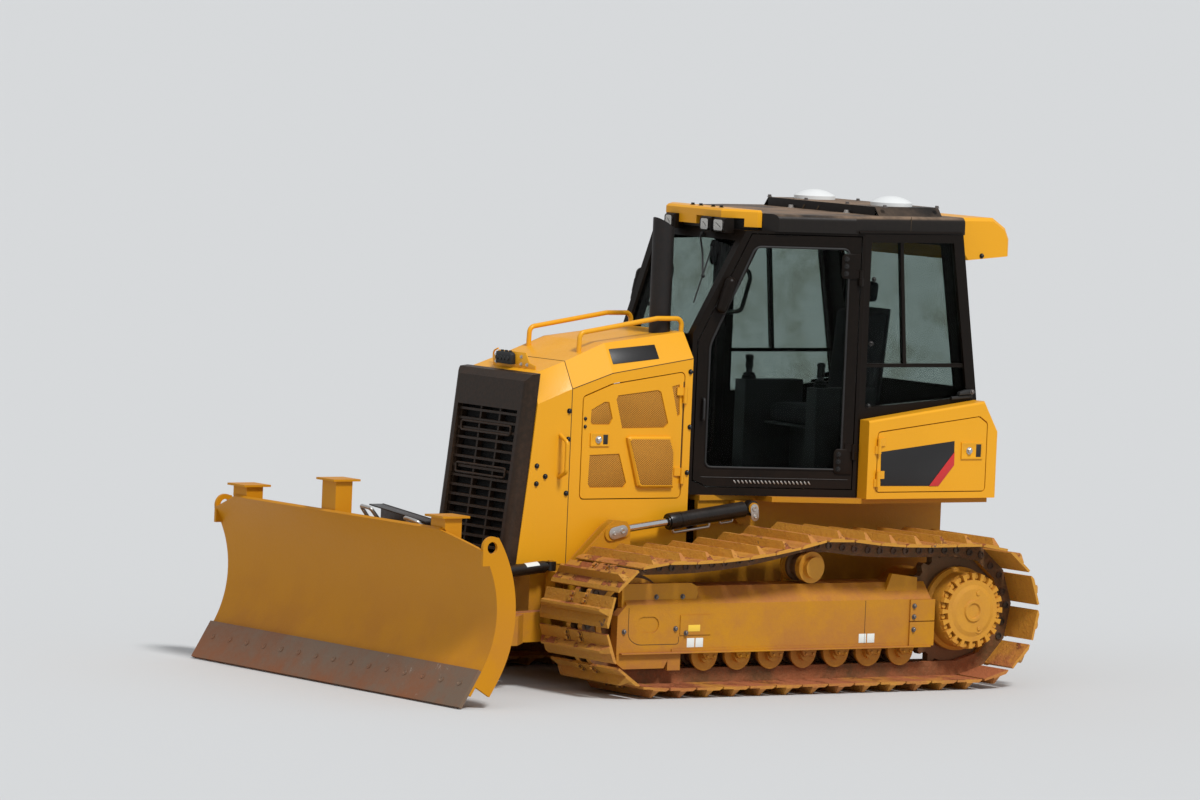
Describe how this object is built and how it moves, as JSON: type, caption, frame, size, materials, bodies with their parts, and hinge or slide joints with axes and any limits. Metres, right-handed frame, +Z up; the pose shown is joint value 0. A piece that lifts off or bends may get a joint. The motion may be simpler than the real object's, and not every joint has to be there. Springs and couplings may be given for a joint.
{
  "type": "compact crawler bulldozer with a six-way blade and a closed cab",
  "caption": "Compact crawler bulldozer in worn yellow paint with a curved six-way blade, steel tracks, sloping hood and a closed cab with a black roof.",
  "frame": {"origin": "middle of the whole machine's length and width, on the ground under the tracks", "axes": "+X forward, towards the blade; +Y to the machine's left; +Z up"},
  "size_m": [4.354, 2.74, 2.798],
  "materials": {
    "yellow_paint": "semi-gloss",
    "dark_frame": "satin",
    "roof_black": "satin",
    "track_steel": "rusty",
    "wheel_iron": "dusty",
    "worn_steel": "worn",
    "black_paint": "satin",
    "rod_chrome": "polished",
    "cab_glazing": "tinted",
    "lamp_glass": "clear",
    "dome_plastic": "matte",
    "seat_fabric": "matte",
    "console_plastic": "matte",
    "engine_iron": "matte"
  },
  "bodies": {
    "chassis": {"main_frame": "yellow_paint", "fender_decks": "yellow_paint", "lift_brackets": "yellow_paint", "drawbar": "dark_frame", "engine_block": "engine_iron", "track_frame_left": "yellow_paint", "track_frame_right": "yellow_paint", "track_left": "track_steel", "track_right": "track_steel", "sprocket_left": "wheel_iron", "sprocket_right": "wheel_iron", "idler_left": "wheel_iron", "idler_right": "wheel_iron", "track_rollers": "wheel_iron", "carrier_rollers": "wheel_iron", "hood": "yellow_paint", "front_cowl": "yellow_paint", "nose_shell": "dark_frame", "grille": "dark_frame", "hood_handrails": "yellow_paint", "exhaust_stack": "roof_black", "cab_frame": "roof_black", "cab_glass": "cab_glazing", "cab_roof": "roof_black", "roof_tray": "roof_black", "antenna_domes": "dome_plastic", "roof_visor": "yellow_paint", "work_lights": "lamp_glass", "rear_roof_cover": "yellow_paint", "seat": "seat_fabric", "control_consoles": "console_plastic", "rear_body": "yellow_paint"},
    "lift_frame": {"push_frame": "yellow_paint"},
    "angle_yoke": {"blade_pivot": "dark_frame"},
    "blade": {"moldboard": "yellow_paint", "blade_frame": "yellow_paint", "blade_stops": "yellow_paint", "cutting_edge": "worn_steel"},
    "left_door": {"cab_door_left": "roof_black", "cab_door_glass_left": "cab_glazing"},
    "right_door": {"cab_door_right": "roof_black", "cab_door_glass_right": "cab_glazing"},
    "left_engine_door": {"engine_door_left": "yellow_paint"},
    "right_engine_door": {"engine_door_right": "yellow_paint"},
    "tank_lid": {"tank_door": "yellow_paint"},
    "lift_barrel_l": {"lift_barrel_left": "black_paint"},
    "lift_barrel_r": {"lift_barrel_right": "black_paint"},
    "lift_rod_l": {"lift_rod_left": "rod_chrome"},
    "lift_rod_r": {"lift_rod_right": "rod_chrome"},
    "angle_barrel_l": {"angle_barrel_left": "black_paint"},
    "angle_barrel_r": {"angle_barrel_right": "black_paint"},
    "angle_rod_l": {"angle_rod_left": "rod_chrome"},
    "angle_rod_r": {"angle_rod_right": "rod_chrome"},
    "tilt_barrel_b": {"tilt_barrel": "black_paint"},
    "tilt_rod_b": {"tilt_rod": "rod_chrome"}
  },
  "joints": [
    {"name": "blade_lift", "type": "hinge", "parent": "chassis", "child": "lift_frame", "pos_m": [-0.772, 0, 0.42], "axis": [0, 1, 0], "range_deg": [-14.3, 11.4]},
    {"name": "blade_angle", "type": "hinge", "parent": "lift_frame", "child": "angle_yoke", "pos_m": [1.598, 0, 0.335], "axis": [0, 0, 1], "range_deg": [-25, 25]},
    {"name": "blade_tilt", "type": "hinge", "parent": "angle_yoke", "child": "blade", "pos_m": [1.798, 0, 0.335], "axis": [1, 0, 0], "range_deg": [-7.3, 7.3]},
    {"name": "cab_door_left_hinge", "type": "hinge", "parent": "chassis", "child": "left_door", "pos_m": [-0.96377, 0.68994, 1.8], "axis": [0, 0, 1], "range_deg": [0, 100]},
    {"name": "cab_door_right_hinge", "type": "hinge", "parent": "chassis", "child": "right_door", "pos_m": [-0.96377, -0.68994, 1.8], "axis": [0, 0, -1], "range_deg": [0, 100]},
    {"name": "engine_door_left_hinge", "type": "hinge", "parent": "chassis", "child": "left_engine_door", "pos_m": [0.046, 0.414, 1.4], "axis": [0, 0, 1], "range_deg": [0, 105]},
    {"name": "engine_door_right_hinge", "type": "hinge", "parent": "chassis", "child": "right_engine_door", "pos_m": [0.046, -0.414, 1.4], "axis": [0, 0, -1], "range_deg": [0, 105]},
    {"name": "tank_door_hinge", "type": "hinge", "parent": "chassis", "child": "tank_lid", "pos_m": [-1.072, 0.794, 1.3], "axis": [0, 0, -1], "range_deg": [0, 90]},
    {"name": "lift_barrel_left_pin", "type": "hinge", "parent": "chassis", "child": "lift_barrel_l", "pos_m": [-0.394, 0.491, 1], "axis": [0, 1, 0], "range_deg": [-20, 16]},
    {"name": "lift_rod_left_slide", "type": "slide", "parent": "lift_barrel_l", "child": "lift_rod_l", "axis": [0.9924, 0, -0.1227], "range_m": [-0.155, 0.125]},
    {"name": "angle_barrel_left_pin", "type": "hinge", "parent": "lift_frame", "child": "angle_barrel_l", "pos_m": [0.963, 0.45, 0.685], "axis": [0, 0, 1], "range_deg": [-6, 6]},
    {"name": "angle_rod_left_slide", "type": "slide", "parent": "angle_barrel_l", "child": "angle_rod_l", "axis": [0.994, 0.0617, -0.0901], "range_m": [-0.215, 0.215]},
    {"name": "lift_barrel_right_pin", "type": "hinge", "parent": "chassis", "child": "lift_barrel_r", "pos_m": [-0.394, -0.491, 1], "axis": [0, 1, 0], "range_deg": [-20, 16]},
    {"name": "lift_rod_right_slide", "type": "slide", "parent": "lift_barrel_r", "child": "lift_rod_r", "axis": [0.9924, 0, -0.1227], "range_m": [-0.155, 0.125]},
    {"name": "angle_barrel_right_pin", "type": "hinge", "parent": "lift_frame", "child": "angle_barrel_r", "pos_m": [0.963, -0.45, 0.685], "axis": [0, 0, 1], "range_deg": [-6, 6]},
    {"name": "angle_rod_right_slide", "type": "slide", "parent": "angle_barrel_r", "child": "angle_rod_r", "axis": [0.994, -0.0617, -0.0901], "range_m": [-0.215, 0.215]},
    {"name": "tilt_barrel_pin", "type": "hinge", "parent": "angle_yoke", "child": "tilt_barrel_b", "pos_m": [1.756, -0.25, 0.69], "axis": [1, 0, 0], "range_deg": [-4, 4]},
    {"name": "tilt_rod_slide", "type": "slide", "parent": "tilt_barrel_b", "child": "tilt_rod_b", "axis": [0, 1, 0], "range_m": [-0.048, 0.048]}
  ],
  "couplings": [
    {"joint": "lift_barrel_left_pin", "follows": "blade_lift", "ratio": 1.364},
    {"joint": "lift_rod_left_slide", "follows": "blade_lift", "m_per_rad": 0.5989},
    {"joint": "angle_barrel_left_pin", "follows": "blade_angle", "ratio": 0.2265},
    {"joint": "angle_rod_left_slide", "follows": "blade_angle", "m_per_rad": -0.4792},
    {"joint": "lift_barrel_right_pin", "follows": "blade_lift", "ratio": 1.364},
    {"joint": "lift_rod_right_slide", "follows": "blade_lift", "m_per_rad": 0.5989},
    {"joint": "angle_barrel_right_pin", "follows": "blade_angle", "ratio": 0.2265},
    {"joint": "angle_rod_right_slide", "follows": "blade_angle", "m_per_rad": 0.4792},
    {"joint": "tilt_barrel_pin", "follows": "blade_tilt", "ratio": 0.5},
    {"joint": "tilt_rod_slide", "follows": "blade_tilt", "m_per_rad": -0.3547}
  ]
}
